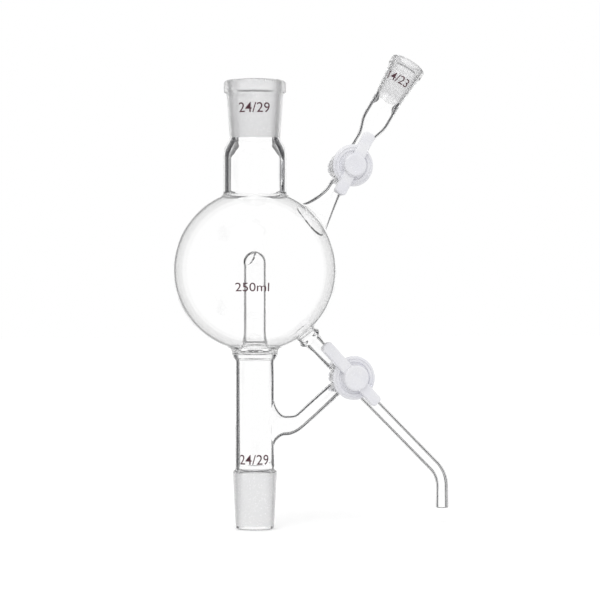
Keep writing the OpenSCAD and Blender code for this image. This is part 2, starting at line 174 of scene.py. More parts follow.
BARREL_R = (BARREL_TOP - BARREL_LOW) / 2
BULB_AT = Vector((0, 0, BULB_Z))
INNER_R = BULB_R - BULB_WALL
NECK_BORE = NECK_R - NECK_WALL
TUBE_BORE = TUBE_R - TUBE_WALL
VAPOUR_BORE = VAPOUR_R - VAPOUR_WALL
DOME_Z = VAPOUR_TOP - VAPOUR_R
JOINT_FOOT = JOINT_R - GROUND_LEN * JOINT_TAPER

# ---- Outlines, as lists of (radius, height) ----


def arc(r, z, radius, start, end, count):
    """Points on an arc about (r, z), with its angles in degrees from the outward direction."""
    angles = [math.radians(start + (end - start) * i / count) for i in range(count + 1)]
    return [(r + radius * math.cos(a), z + radius * math.sin(a)) for a in angles]


def bend(first, knee, last, count):
    """Points on a smooth bend between two points, led by a knee between them."""
    points = []
    for i in range(count + 1):
        t = i / count
        weights = ((1 - t) ** 2, 2 * t * (1 - t), t * t)
        points.append(tuple(
            sum(w * p[k] for w, p in zip(weights, (first, knee, last))) for k in range(len(first))
        ))
    return points


def s_bend(first, near_first, near_last, last, t):
    """A place on a cubic bend, at t from 0 to 1."""
    u = 1 - t
    return first * u**3 + near_first * 3 * u * u * t + near_last * 3 * u * t * t + last * t**3


def s_line(first, near_first, near_last, last, count):
    """Points on a cubic bend between two points."""
    ends = [Vector(point) for point in (first, near_first, near_last, last)]
    return [tuple(s_bend(*ends, i / count)) for i in range(count + 1)]


def ease(first, last, count=10):
    """Points on an S-shaped step between two radii."""
    points = []
    for i in range(count + 1):
        t = i / count
        share = (1 - math.cos(math.pi * t)) / 2
        points.append((first[0] + (last[0] - first[0]) * share, first[1] + (last[1] - first[1]) * t))
    return points


def stepped(stops, counts):
    """Points on S-shaped steps through several stops, without the first stop."""
    points = []
    for first, last, count in zip(stops, stops[1:], counts):
        points += ease(first, last, count)[1:]
    return points


def onward(line, *bends):
    """Adds smooth bends, each as a knee, a last point and a count, from where the line ends."""
    for knee, last, count in bends:
        line += bend(line[-1], knee, last, count)[1:]


def on_ball(radius, deg):
    """A point on the bulb's wall, by its angle above the level of the bulb's middle."""
    angle = math.radians(deg)
    return radius * math.cos(angle), BULB_Z + radius * math.sin(angle)


def collar(neck, ball, radius):
    """The fillet between a neck and the ball below it, from the neck down, and its last angle."""
    out = neck + radius
    up = math.sqrt((ball + radius)**2 - out**2)
    deg = math.degrees(math.atan2(up, out))
    return arc(out, BULB_Z + up, radius, 180, 180 + deg, 9), deg


def inner_outline():
    """The vapour tube's outside from its tip, the bulb's inside and the upper socket's bore."""
    foot_deg = -math.degrees(math.acos((VAPOUR_R + VAPOUR_FLARE) / INNER_R))
    foot = on_ball(INNER_R, foot_deg)
    throat, throat_deg = collar(NECK_BORE, INNER_R, 3.2 * MM)
    line = arc(0, DOME_Z, VAPOUR_R, 90, 0, 10)
    line += bend((VAPOUR_R, foot[1] + 10 * MM), (VAPOUR_R, foot[1] + 2.5 * MM), foot, 12)
    line += arc(0, BULB_Z, INNER_R, foot_deg, throat_deg, 72)[1:] + throat[::-1][1:]
    line += s_line((NECK_BORE, SOCKET_FOOT - 9.8 * MM), (NECK_BORE, SOCKET_FOOT - 3.8 * MM),
                   (JOINT_FOOT, SOCKET_FOOT - 2.4 * MM), (JOINT_FOOT, SOCKET_FOOT + FROST_FROM), 18)
    line += [(JOINT_R - 0.05 * MM, SOCKET_TOP - 1.1 * MM)]
    line += bend((JOINT_R, SOCKET_TOP - 0.9 * MM), (JOINT_R + 0.1 * MM, SOCKET_TOP),
                 (JOINT_R + 1.3 * MM, SOCKET_TOP), 5)
    return line


def outer_outline():
    """The rolled rim, the socket's outside, the shoulder, the neck and the bulb's outside."""
    body_r = RIM_R - 1.5 * MM
    rim_low = SOCKET_TOP - 7.1 * MM
    foot_r = JOINT_FOOT + 3.3 * MM
    root, root_deg = collar(NECK_R, BULB_R, 1.3 * MM)
    seal_deg = -math.degrees(math.acos((SEAL_R + 1.2 * MM) / BULB_R))
    line = arc(RIM_R - 2 * MM, SOCKET_TOP - 2 * MM, 2 * MM, 90, 0, 7)
    line += arc(RIM_R - 1.3 * MM, rim_low + 1.3 * MM, 1.3 * MM, 0, -70, 5)
    onward(line, ((body_r, rim_low + 0.1 * MM), (body_r - 0.1 * MM, rim_low - 1.2 * MM), 4))
    line += s_line((foot_r, SOCKET_FOOT + 1.6 * MM), (foot_r, SOCKET_FOOT - 1.6 * MM),
                   (NECK_R, SOCKET_FOOT - 2.4 * MM), (NECK_R, SOCKET_FOOT - 8.5 * MM), 18)
    return line + root + arc(0, BULB_Z, BULB_R, root_deg, seal_deg, 84)[1:]


def add_lower_outline(line):
    """Adds the ring seal, the lower tube and the ground cone."""
    onward(
        line,
        ((SEAL_R + 0.1 * MM, line[-1][1] - 0.5 * MM), (SEAL_R, TUBE_TOP + 3.9 * MM), 5),
        ((SEAL_R - 0.2 * MM, TUBE_TOP + 2 * MM), (TUBE_R + 1 * MM, TUBE_TOP + 1.2 * MM), 6),
        ((TUBE_R, TUBE_TOP + 0.5 * MM), (TUBE_R, TUBE_TOP - 1 * MM), 5),
    )
    line += bend((TUBE_R, TUBE_LOW + 1.8 * MM), (TUBE_R + 0.35 * MM, TUBE_LOW + 0.4 * MM),
                 (TUBE_R, TUBE_LOW - 0.6 * MM), 6)
    onward(
        line,
        ((TUBE_R - 0.05 * MM, 1.5 * MM), (TUBE_R + 0.6 * MM, 1.2 * MM), 3),
        ((CONE_R - 0.1 * MM, 1.1 * MM), (CONE_R, 0), 5),
    )
    line += [(CONE_R - GROUND_LEN * JOINT_TAPER, -GROUND_LEN)]
    line += arc(CONE_R - 2.5 * MM, CONE_LOW + 0.9 * MM, 0.9 * MM, 0, -90, 4)


def add_bore_outline(line):
    """Adds the bore, the blister inside the ring seal and the vapour tube's inside."""
    bore = TUBE_BORE
    line += bend((bore + 0.4 * MM, CONE_LOW), (bore, CONE_LOW), (bore, CONE_LOW + 0.5 * MM), 3)
    line += bend((bore, TUBE_TOP - 1.5 * MM), (bore, TUBE_TOP + 0.8 * MM),
                 (bore + 0.9 * MM, TUBE_TOP + 2.2 * MM), 5)
    onward(
        line,
        ((bore + 1.9 * MM, TUBE_TOP + 4.7 * MM), (bore - 0.9 * MM, TUBE_TOP + 5.1 * MM), 8),
        ((VAPOUR_BORE + 0.3 * MM, TUBE_TOP + 6 * MM), (VAPOUR_BORE, TUBE_TOP + 16 * MM), 14),
    )
    line += arc(0, DOME_Z, VAPOUR_BORE, 0, 90, 8)


def body_outline():
    """The wall of the main axis in one line: up the vapour tube's outside from its tip, round the
    bulb's inside, over the upper socket, down the outside and up the bore to the tip's inside."""
    line = inner_outline() + outer_outline()
    add_lower_outline(line)
    add_bore_outline(line)
    line[0] = (0, line[0][1])
    line[-1] = (0, line[-1][1])
    return line


# ---- Mesh makers ----


SMOOTH_DEG = 38


def smoothed(mesh, deg):
    """Smooth faces, with sharp edges where the surface turns by more than deg."""
    mesh.shade_smooth()
    mesh.set_sharp_from_angle(angle=math.radians(deg))


def finished(bm, name, smooth_deg=SMOOTH_DEG):
    """An object at the origin from a bmesh."""
    mesh = bpy.data.meshes.new(name)
    bm.to_mesh(mesh)
    bm.free()
    smoothed(mesh, smooth_deg)
    made = bpy.data.objects.new(name, mesh)
    bpy.context.scene.collection.objects.link(made)
    return made


def placed(bm, matrix):
    bmesh.ops.transform(bm, verts=bm.verts, matrix=matrix)
    return bm


def turned(outline, sides):
    """A closed mesh turned round +Z from an outline whose ends are on the axis."""
    bm = bmesh.new()
    verts = [bm.verts.new((r, 0, z)) for r, z in outline]
    edges = [bm.edges.new(pair) for pair in zip(verts, verts[1:])]
    bmesh.ops.spin(bm, geom=verts + edges, cent=(0, 0, 0), axis=(0, 0, 1), dvec=(0, 0, 0),
                   angle=math.tau, steps=sides, use_merge=True)
    bmesh.ops.remove_doubles(bm, verts=bm.verts, dist=1e-6)
    bmesh.ops.recalc_face_normals(bm, faces=bm.faces)
    return bm


def stretched(rings, hollow=False):
    """A closed mesh stretched through rings of places that all have as many points.

    Its two ends are capped, or joined to each other if it is hollow, as a washer is."""
    bm = bmesh.new()
    loop = bmesh.ops.create_circle(bm, segments=len(rings[0]), radius=1)["verts"]
    for vert, place in zip(loop, rings[0]):
        vert.co = place
    edges = list(bm.edges)
    for places in rings[1:]:
        made = bmesh.ops.extrude_edge_only(bm, edges=edges)["geom"]
        fresh = {v for v in made if isinstance(v, bmesh.types.BMVert)}
        edges = [e for e in made if isinstance(e, bmesh.types.BMEdge) and set(e.verts) <= fresh]
        loop = [next(e.other_vert(v) for e in v.link_edges if e.other_vert(v) in fresh) for v in loop]
        for vert, place in zip(loop, places):
            vert.co = place
    if hollow:
        bmesh.ops.bridge_loops(bm, edges=[e for e in bm.edges if e.is_boundary])
    else:
        bmesh.ops.holes_fill(bm, edges=[e for e in bm.edges if e.is_boundary])
    bmesh.ops.recalc_face_normals(bm, faces=bm.faces)
    return bm


SIDES = 48
ACROSS = Vector((0, 1, 0))


def slope(deg):
    """A direction in the plane of the arms, by its angle above +X."""
    angle = math.radians(deg)
    return Vector((math.cos(angle), 0, math.sin(angle)))


def outward(way):
    """Unit directions round a tube that runs along way in the plane of the arms, from its upper side."""
    up = way.cross(ACROSS)
    turns = [math.tau * i / SIDES for i in range(SIDES)]
    return [up * math.cos(a) + ACROSS * math.sin(a) for a in turns]


def ring(centre, way, radius):
    return [centre + side * radius for side in outward(way)]


class Carrier:
    """A round surface that tubes are fused to: a ball, or a cylinder if it has an axis."""

    def __init__(self, centre, radius, axis=None):
        self.centre = centre
        self.radius = radius
        self.axis = axis

    def off_axis(self, vector):
        return vector - self.axis * vector.dot(self.axis) if self.axis else vector

    def met(self, place, way):
        """Where a line that comes from outside along way first meets the surface."""
        start = self.off_axis(place - self.centre)
        run = self.off_axis(way)
        a = run.length_squared
        b = start.dot(run)
        c = start.length_squared - self.radius**2
        return place + way * ((-b - math.sqrt(max(b * b - a * c, 0))) / a)

    def put(self, place):
        """The nearest place on the surface."""
        out = self.off_axis(place - self.centre)
        return place + out.normalized() * (self.radius - out.length)


def weld(centre, way, radius, carrier, spread, rise, softness=0.15, steps=9, sink=0.0, back=False):
    """Rings of a flare by which a tube is fused to a carrier in front of it, or behind it if back.

    way is the tube's own direction. spread and rise say how far the flare reaches along the carrier
    and up the tube, and softness how straight it is, each as one number or as three for the upper
    side, the flanks and the lower side. The last rings close the end on the carrier, or run on into
    its hollow by sink."""
    run = -way if back else way

    def share(values, turn):
        if not isinstance(values, tuple):
            return values
        upper, flank, lower = values
        end = upper if math.cos(turn) > 0 else lower
        return flank + (end - flank) * math.cos(turn) ** 2

    lines = []
    for k, side in enumerate(outward(way)):
        turn = math.tau * k / SIDES
        knee = carrier.met(centre + side * radius, run)
        first = knee - run * share(rise, turn)
        last = carrier.put(knee + side * share(spread, turn))
        pull = 0.67 * (1 - share(softness, turn))
        knees = first.lerp(knee, pull), last.lerp(knee, pull)
        lines.append([s_bend(first, *knees, last, i / steps) for i in range(steps + 1)])
    rings = [list(places) for places in zip(*lines)]
    middle = carrier.met(centre, run)
    for shrink in (0.6, 0.2):
        rings.append([
            carrier.put(middle.lerp(place, shrink)) + run * sink for place in rings[steps]
        ])
    return rings[::-1] if back else rings


# ---- Places and sizes of the stopcocks, made upright along +Z and then turned to face -Y ----

KEY_SIDES = 72
HANDLE_SIDES = 96
CORE_R = 5.75 * MM
CORE_TAPER = 0.1
BORE_GAP = 0.07 * MM
PLUG_GAP = 0.06 * MM
STACK_GAP = 0.1 * MM
PLATE_T = 2.4 * MM
BOSS_H = 3.8 * MM
BAR_H = 2.0 * MM
BAR_HALF = 3.2 * MM
TANG_W = 6.0 * MM
TANG_H = 4.0 * MM
STUD_R = 3.0 * MM
WASHER_R = 6.2 * MM
WASHER_T = 1.2 * MM
RING_T = 1.8 * MM
NUT_H = 5.5 * MM
NUT_GROOVES = 12
THREAD_PITCH = 1.0 * MM
KEYS = {
    "vent": {"at": VENT_AT, "plate": 11.6 * MM, "boss": 6.4 * MM, "long": 20 * MM, "short": 18 * MM,
             "bar_deg": 61.5, "passages": [58.5, 238.5]},
    "drain": {"at": DRAIN_AT, "plate": 12.1 * MM, "boss": 7.1 * MM, "long": 25.2 * MM, "short": 19 * MM,
              "bar_deg": 133, "passages": [135, 315, 225]},
}


def key_ends(key):
    """How far the key's barrel reaches in front of and behind the crossing."""
    low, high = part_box(key + "_barrel")
    return -low.y, high.y


def facing(key, bm):
    """Turns a mesh that was made along +Z to the key's axis and puts it at its crossing."""
    placed(bm, Matrix.Translation(KEYS[key]["at"]) @ Matrix.Rotation(math.pi / 2, 4, "X"))
    bmesh.ops.recalc_face_normals(bm, faces=bm.faces)
    return bm


# ---- The glass ----

GLASS_NODES = [n for n, o in frame["nodes"].items() if o["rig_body"] == "glass"]
VENT_WAY = SIDE_WAY.normalized()
DRAIN_WAY = slope(-45)
RETURN_DEG = 40.7
RETURN_WAY = slope(RETURN_DEG)
DRIP_DEG = -44.5
DRIP_WAY = slope(DRIP_DEG)
UPWAY = Vector((0, 0, 1))
SINK = 0.07 * MM
BODY_SIDES = 112


def along(crossing, way, outline):
    """Rings of a straight tube from its outline of (radius, distance from the crossing)."""
    return [ring(crossing + way * far, way, radius) for radius, far in outline]


def barrel_solid(key):
    """A stopcock's barrel with fire-polished ends."""
    front, back = key_ends(key)
    polish = 1.1 * MM
    outline = [(0, -back)] + arc(BARREL_R - polish, polish - back, polish, -90, 0, 5)
    outline += arc(BARREL_R - polish, front - polish, polish, 0, 90, 5) + [(0, front)]
    return facing(key, turned(outline, KEY_SIDES))


def barrel_bore(key):
    """The tapered bore for the plug, opened a little at both ends."""
    front, back = key_ends(key)
    lip = 0.5 * MM

    def bore(z):
        return CORE_R + BORE_GAP + CORE_TAPER * z

    outline = [(0, -back - lip), (bore(-back) + 2 * lip, -back - lip)]
    outline += bend((bore(-back) + lip, -back), (bore(-back), -back), (bore(-back), lip * 2 - back), 3)
    outline += bend((bore(front), front - lip * 2), (bore(front), front), (bore(front) + lip, front), 3)
    outline += [(bore(front) + 2 * lip, front + lip), (0, front + lip)]
    return facing(key, turned(outline, KEY_SIDES))


def barrel_weld(crossing, way, radius, back=False, spread=1.5 * MM):
    """Rings of the flare by which a tube is fused to a stopcock's barrel."""
    barrel = Carrier(crossing, BARREL_R - 0.3 * MM, ACROSS)
    return weld(crossing, way, radius, barrel, spread, 2.4 * MM, back=back)


def passage(bore):
    """Radius and distance from the crossing where a tube's bore narrows to the hole in a barrel."""
    return [(bore, -9.6 * MM), (HOLE_R + 0.2 * MM, -7.5 * MM), (HOLE_R, -3 * MM)]


def bulb_carriers():
    """The bulb's outside and inside, to which its side tubes are fused."""
    return Carrier(BULB_AT, BULB_R - SINK), Carrier(BULB_AT, INNER_R - SINK)


def longer(lengths, by):
    return tuple(length + by for length in lengths)


def vent_arm():
    """Outside and hollow of the funnel between the bulb and the vent stopcock."""
    ball, hollow = bulb_carriers()
    bore = VENT_R - SIDE_WALL
    spread, rise = (9.2 * MM, 5.6 * MM, 4.4 * MM), (19 * MM, 19 * MM, 21 * MM)
    softness = (0.6, 0.3, 0.85)
    outside = weld(VENT_AT, VENT_WAY, VENT_R, ball, spread, rise, softness, 18, back=True)
    outside += barrel_weld(VENT_AT, VENT_WAY, VENT_R, spread=1.6 * MM)
    inside = weld(VENT_AT, VENT_WAY, bore, hollow, longer(spread, SIDE_WALL), longer(rise, 1 * MM),
                  softness, 18, SINK, back=True)
    inside += along(VENT_AT, VENT_WAY, passage(bore))
    return outside, inside


def side_outline():
    """Radius and distance from the vent stopcock along the stem and the side socket."""
    top = (SIDE_TOP - VENT_AT).length
    foot = top - SIDE_GROUND_LEN
    body_r = SIDE_RIM_R - 0.75 * MM
    foot_r = 7.75 * MM
    rim = top - 5 * MM
    outside = ease((STEM_R, 18 * MM), (BULGE_R, foot - 13.5 * MM))
    outside += ease((BULGE_R, foot - 7.5 * MM), (foot_r, foot - 0.5 * MM))
    outside += ease((foot_r, foot - 0.2 * MM), (8.2 * MM, foot + 5 * MM))[1:]
    outside += [(body_r, rim - 1 * MM)]
    outside += bend((body_r, rim - 0.8 * MM), (body_r, rim), (body_r + 0.5 * MM, rim + 0.1 * MM), 3)
    outside += arc(SIDE_RIM_R - 0.7 * MM, rim + 0.8 * MM, 0.7 * MM, -60, 0, 4)
    outside += arc(SIDE_RIM_R - 1.3 * MM, top - 1.3 * MM, 1.3 * MM, 0, 90, 5)
    mouth = SIDE_MOUTH_R
    inside = [(radius, -far) for radius, far in reversed(passage(STEM_R - SIDE_WALL))]
    inside += ease((STEM_R - SIDE_WALL, 18 * MM), (BULGE_R - SIDE_WALL, foot - 13.5 * MM))
    inside += ease((BULGE_R - SIDE_WALL, foot - 7.5 * MM), (5.9 * MM, foot - 0.5 * MM))
    inside += [(mouth - SIDE_GROUND_LEN * JOINT_TAPER, foot), (mouth - 0.05 * MM, top - 0.9 * MM)]
    inside += bend((mouth, top - 0.7 * MM), (mouth, top), (mouth + 1.2 * MM, top), 4)
    inside += [(mouth + 1.4 * MM, top + 0.6 * MM)]
    return outside, inside


def stem_and_socket():
    outline, hollow = side_outline()
    outside = barrel_weld(VENT_AT, VENT_WAY, STEM_R, back=True) + along(VENT_AT, VENT_WAY, outline)
    return outside, along(VENT_AT, VENT_WAY, hollow)


def drain_arm():
    """Outside and hollow of the drain: a stub on the bulb, a weld and a funnel to the stopcock."""
    ball, hollow = bulb_carriers()
    root = -(DRAIN_AT - ball.met(DRAIN_AT, -DRAIN_WAY)).length
    stub, stub_bore = 5.7 * MM, 5.7 * MM - SIDE_WALL
    bore = ARM_R - SIDE_WALL
    bead = [(stub, root + 2.1 * MM), (6.6 * MM, root + 3.7 * MM),
            (4.9 * MM, root + 6.7 * MM), (ARM_R, root + 12 * MM)]
    blister = [(stub_bore, root + 2.3 * MM), (4.9 * MM, root + 3.7 * MM),
               (3.3 * MM, root + 6.9 * MM), (bore, root + 12 * MM)]
    outside = weld(DRAIN_AT, DRAIN_WAY, stub, ball, 2.2 * MM, 1.8 * MM, 0.2, 8, back=True)
    outside += along(DRAIN_AT, DRAIN_WAY, stepped(bead, (5, 7, 5)))
    outside += barrel_weld(DRAIN_AT, DRAIN_WAY, ARM_R)
    inside = weld(DRAIN_AT, DRAIN_WAY, stub_bore, hollow, 3 * MM, 2.4 * MM, 0.1, 10, SINK, back=True)
    inside += along(DRAIN_AT, DRAIN_WAY, stepped(blister, (5, 7, 5)) + passage(bore))
    return outside, inside


def turn_path(start, way_deg, radius, turn_deg, count):
    """Places and ways along a bend that starts at start in the direction way_deg."""
    square = math.copysign(90, turn_deg)
    centre = start + slope(way_deg + square) * radius
    stops = []
    for i in range(count + 1):
        deg = way_deg + turn_deg * i / count
        stops.append((centre - slope(deg + square) * radius, slope(deg)))
    return stops


def return_path():
    """Stops along the return arm, from its level start at the lower tube to its straight run."""
    low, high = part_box("return_elbow")
    level = (low.z + high.z) / 2 + 1.1 * MM
    turn = 15 * MM
    corner_x = DRAIN_AT.x - (DRAIN_AT.z - level) / math.tan(math.radians(RETURN_DEG))
    start = Vector((corner_x - turn * math.tan(math.radians(RETURN_DEG / 2)), 0, level))
    return turn_path(start, 0, turn, RETURN_DEG, 10)


def return_arm():
    """Outside and hollow of the return arm, which opens like a funnel into the lower tube."""
    stops = return_path()
    start, level = stops[0]
    tube = Carrier(Vector(), TUBE_R - SINK, UPWAY)
    hollow = Carrier(Vector(), TUBE_BORE - SINK, UPWAY)
    reach = start.x - TUBE_R
    bore = ARM_R - SIDE_WALL
    widened = [0.7 * MM * (1 + math.cos(math.pi * i / (len(stops) - 1))) for i in range(len(stops))]
    spread = (11.4 * MM, 5.4 * MM, 6.2 * MM)
    softness = (0.33, 0.5, 0.35)
    outside = weld(start, level, ARM_R + widened[0], tube, spread,
                   (reach, reach - 1.2 * MM, reach - 0.4 * MM), softness, 16, back=True)
    inside = weld(start, level, bore + widened[0], hollow, longer(spread, SIDE_WALL),
                  (reach + 1.4 * MM, reach + 0.1 * MM, reach + 1 * MM), softness, 16, SINK, back=True)
    for (place, way), more in zip(stops[1:], widened[1:]):
        outside.append(ring(place, way, ARM_R + more))
        inside.append(ring(place, way, bore + more))
    outside += barrel_weld(DRAIN_AT, RETURN_WAY, ARM_R)
    inside += along(DRAIN_AT, RETURN_WAY, passage(bore))
    return outside, inside


def drip_tube():
    """Outside and hollow of the drip tube, bent straight down to its fire-polished end."""
    run = 71.3 * MM
    turn = 16 * MM
    stops = turn_path(DRAIN_AT + DRIP_WAY * run, DRIP_DEG, turn, -90 - DRIP_DEG, 12)
    end = Vector((stops[-1][0].x, 0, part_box("drip_tip")[0].z))
    bore = DRIP_R - SIDE_WALL
    tip = [(DRIP_R, 0.6 * MM), (DRIP_R - 0.15 * MM, 0.2 * MM), (DRIP_R - 0.5 * MM, 0)]
    mouth = [(bore, 0.5 * MM), (bore + 0.4 * MM, 0), (bore + 0.5 * MM, -0.5 * MM)]
    outside = barrel_weld(DRAIN_AT, DRIP_WAY, DRIP_R, back=True)
    outside += [ring(place, way, DRIP_R) for place, way in stops]
    outside += [ring(end + UPWAY * up, -UPWAY, radius) for radius, up in tip]
    inside = along(DRAIN_AT, DRIP_WAY, [(radius, -far) for radius, far in reversed(passage(bore))])
    inside += [ring(place, way, bore) for place, way in stops]
    inside += [ring(end + UPWAY * up, -UPWAY, radius) for radius, up in mouth]
    return outside, inside


PORT_DEG = -158
PORT_WAY = Matrix.Rotation(math.radians(PORT_DEG), 3, "Z") @ Vector((1, 0, 0))
PORT_R = 3.8 * MM
PORT_DEPTH = 11 * MM
PORT_Z = VAPOUR_TOP - 4.0 * MM


def port():
    """The round port in the side of the vapour tube."""
    bm = bmesh.new()
    bmesh.ops.create_cone(bm, segments=SIDES, radius1=PORT_R, radius2=PORT_R, depth=PORT_DEPTH, cap_ends=True)
    place = Vector((0, 0, PORT_Z)) + PORT_WAY * PORT_DEPTH / 2
    return placed(bm, Matrix.Translation(place) @ PORT_WAY.to_track_quat("Z", "Y").to_matrix().to_4x4())


def gathered(name, meshes):
    """A collection of cutting or added solids, each from its bmesh."""
    group = bpy.data.collections.new(name)
    for i, bm in enumerate(meshes):
        solid = finished(bm, f"{name}_{i}")
        bpy.context.scene.collection.objects.unlink(solid)
        group.objects.link(solid)
    return group


def fused(base, group, operation):
    """Applies a Boolean of a whole collection to the base mesh and drops the collection."""
    change = base.modifiers.new("fuse", "BOOLEAN")
    change.solver = "EXACT"
    change.operation = operation
    change.operand_type = "COLLECTION"
    change.collection = group
    mesh = bpy.data.meshes.new_from_object(base.evaluated_get(bpy.context.evaluated_depsgraph_get()))
    base.modifiers.clear()
    base.data = mesh
    for solid in list(group.objects):
        bpy.data.objects.remove(solid)
    bpy.data.collections.remove(group)


def frost(mesh):
    """Gives the ground zones of the three joints the second material."""
    side_foot = (SIDE_TOP - VENT_AT).length - SIDE_GROUND_LEN
    for face in mesh.polygons:
        place, normal = face.center, face.normal
        radial = Vector((place.x, place.y, 0))
        outer = normal.dot(radial) > 0
        on_cone = outer and -GROUND_LEN < place.z < 0 and radial.length < CONE_R + MM
        in_socket = (not outer and radial.length < JOINT_R + 0.2 * MM
                     and SOCKET_FOOT + FROST_FROM < place.z < SOCKET_TOP - 1 * MM)
        far = (place - VENT_AT).dot(VENT_WAY)
        off = place - VENT_AT - VENT_WAY * far
        in_side = (normal.dot(off) < 0 and off.length < SIDE_MOUTH_R + 0.35 * MM
                   and side_foot < far < side_foot + SIDE_GROUND_LEN - 0.8 * MM)
        face.material_index = 1 if on_cone or in_socket or in_side else 0


def glassware():
    """The whole glass body as one fused piece."""
    body = finished(turned(body_outline(), BODY_SIDES), "glassware")
    tubes = [vent_arm(), stem_and_socket(), drain_arm(), return_arm(), drip_tube()]
    outsides = [stretched(outside) for outside, inside in tubes]
    insides = [stretched(inside) for outside, inside in tubes]
    fused(body, gathered("outsides", outsides + [barrel_solid(key) for key in KEYS]), "UNION")
    fused(body, gathered("insides", insides + [barrel_bore(key) for key in KEYS] + [port()]), "DIFFERENCE")
    body.data.materials.clear()
    for look in ("clear_glass", "ground_glass"):
        body.data.materials.append(LOOKS[look])
    frost(body.data)
    smoothed(body.data, SMOOTH_DEG)
    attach(body, "glass")
    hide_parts(*GLASS_NODES)
    return body


# ---- The stopcock keys ----


def circle_at(z, radius, sides, dip=0.0, teeth=0):
    """A level ring of places, drawn in by dip at evenly spaced grooves."""
    places = []
    for i in range(sides):
        angle = math.tau * i / sides
        groove = max(0.0, math.cos(angle * teeth)) ** 3 if teeth else 0.0
        reach = radius - dip * groove
        places.append(Vector((reach * math.cos(angle), reach * math.sin(angle), z)))
    return places


def slab(long, short, half, corner, low, high, edge):
    """A bar with rounded corners and eased edges that runs along X."""

    def outline(z, inset):
        places = []
        for x, y, start in ((long, half, 0), (-short, half, 90), (-short, -half, 180), (long, -half, 270)):
            turn = math.copysign(1, x), math.copysign(1, y)
            centre = Vector((x - turn[0] * corner, y - turn[1] * corner, z))
            for i in range(9):
                angle = math.radians(start + i * 90 / 8)
                places.append(centre + Vector((math.cos(angle), math.sin(angle), 0)) * (corner - inset))
        return places

    eased = [(low, 0.0)]
    for i in range(5):
        angle = math.radians(i * 90 / 4)
        eased.append((high - edge + edge * math.sin(angle), edge * (1 - math.cos(angle))))
    return stretched([outline(z, inset) for z, inset in eased])


def dressed(piece, key, part, look, smooth_deg, body=None):
    """Gives a key's piece its material and body, in place of its CAD node."""
    piece.data.materials.clear()
    piece.data.materials.append(LOOKS[look])
    smoothed(piece.data, smooth_deg)
    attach(piece, body or key + "_key")
    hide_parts(key + part)
    return piece


def square_block(height, z):
    """A block as wide as the plug's tang, with its middle at z."""
    bm = bmesh.new()
    bmesh.ops.create_cube(bm, size=1, matrix=(
        Matrix.Translation((0, 0, z)) @ Matrix.Diagonal((TANG_W, TANG_W, height, 1))
    ))
    return bm


def handle(key):
    """The moulded handle: a round plate, a raised boss and a bar across them."""
    facts = KEYS[key]
    plate, boss = facts["plate"], facts["boss"]
    low = key_ends(key)[0] + STACK_GAP
    plate_top = low + PLATE_T
    moat = plate_top - 1.5 * MM
    rim_low = plate_top - 0.6 * MM
    crown_top = plate_top + BOSS_H - 0.2 * MM
    outline = [(0, low), (plate - 0.5 * MM, low)]
    outline += arc(plate - 0.8 * MM, low + 0.8 * MM, 0.8 * MM, -60, 90, 8)
    outline += [(plate - 1.5 * MM, plate_top - 0.1 * MM), (plate - 1.9 * MM, rim_low)]
    outline += [(boss + 1.9 * MM, rim_low), (boss + 1.4 * MM, moat), (boss - 1 * MM, moat), (0, moat)]
    crown = [(0, low + 0.4 * MM), (boss + 0.25 * MM, low + 0.4 * MM), (boss, plate_top + 0.6 * MM)]
    crown += arc(boss - 1.2 * MM, crown_top - 1 * MM, 1.2 * MM, 0, 75, 6)
    crown += [(boss - 1.9 * MM, crown_top + 0.08 * MM), (boss - 2.3 * MM, crown_top), (0, crown_top)]
    bar = slab(facts["long"], facts["short"], BAR_HALF, 1.9 * MM, low + 0.3 * MM, plate_top + BAR_H, 0.7 * MM)
    placed(bar, Matrix.Rotation(math.radians(facts["bar_deg"]), 4, "Z"))
    socket = square_block(TANG_H + 0.6 * MM, low + TANG_H / 2 - 0.2 * MM)
    body = finished(facing(key, turned(outline, HANDLE_SIDES)), key + "_handle_moulding")
    added = [facing(key, turned(crown, HANDLE_SIDES)), facing(key, bar)]
    fused(body, gathered("added", added), "UNION")
    fused(body, gathered("cut", [facing(key, socket)]), "DIFFERENCE")
    return dressed(body, key, "_handle", "handle_polymer", 35)


def plug_outline(low, high):
    """The threaded stud and the tapered core, from the stud's end at the rear."""
    tail = low - 0.6 * MM - 2 * STACK_GAP - WASHER_T - RING_T - NUT_H - 1 * MM
    root_r = STUD_R - 0.42 * MM
    edge = 0.5 * MM

    def core(z):
        return CORE_R + CORE_TAPER * z - PLUG_GAP

    outline = [(0, tail), (STUD_R - 0.8 * MM, tail), (STUD_R - 0.3 * MM, tail + 0.4 * MM)]
    for i in range(int((low - tail) / THREAD_PITCH) - 1):
        foot = tail + edge + i * THREAD_PITCH
        outline += [(root_r, foot), (STUD_R, foot + 0.4 * THREAD_PITCH), (STUD_R, foot + 0.55 * THREAD_PITCH)]
    outline += [(root_r, low - 0.2 * MM), (STUD_R, low)]
    outline += bend((core(low) - edge, low), (core(low), low), (core(low + edge), low + edge), 4)
    outline += bend((core(high - edge), high - edge), (core(high), high), (core(high) - edge, high), 4)
    return outline + [(0, high)]


def passage_hole(deg):
    """A hole from the plug's middle to its side, in the direction deg."""
    hole = bmesh.new()
    bmesh.ops.create_cone(hole, segments=36, radius1=HOLE_R, radius2=HOLE_R, depth=8 * MM, cap_ends=True)
    outwards = Matrix.Translation((3.9 * MM, 0, 0)) @ Matrix.Rotation(math.pi / 2, 4, "Y")
    return placed(hole, Matrix.Rotation(math.radians(deg), 4, "Z") @ outwards)


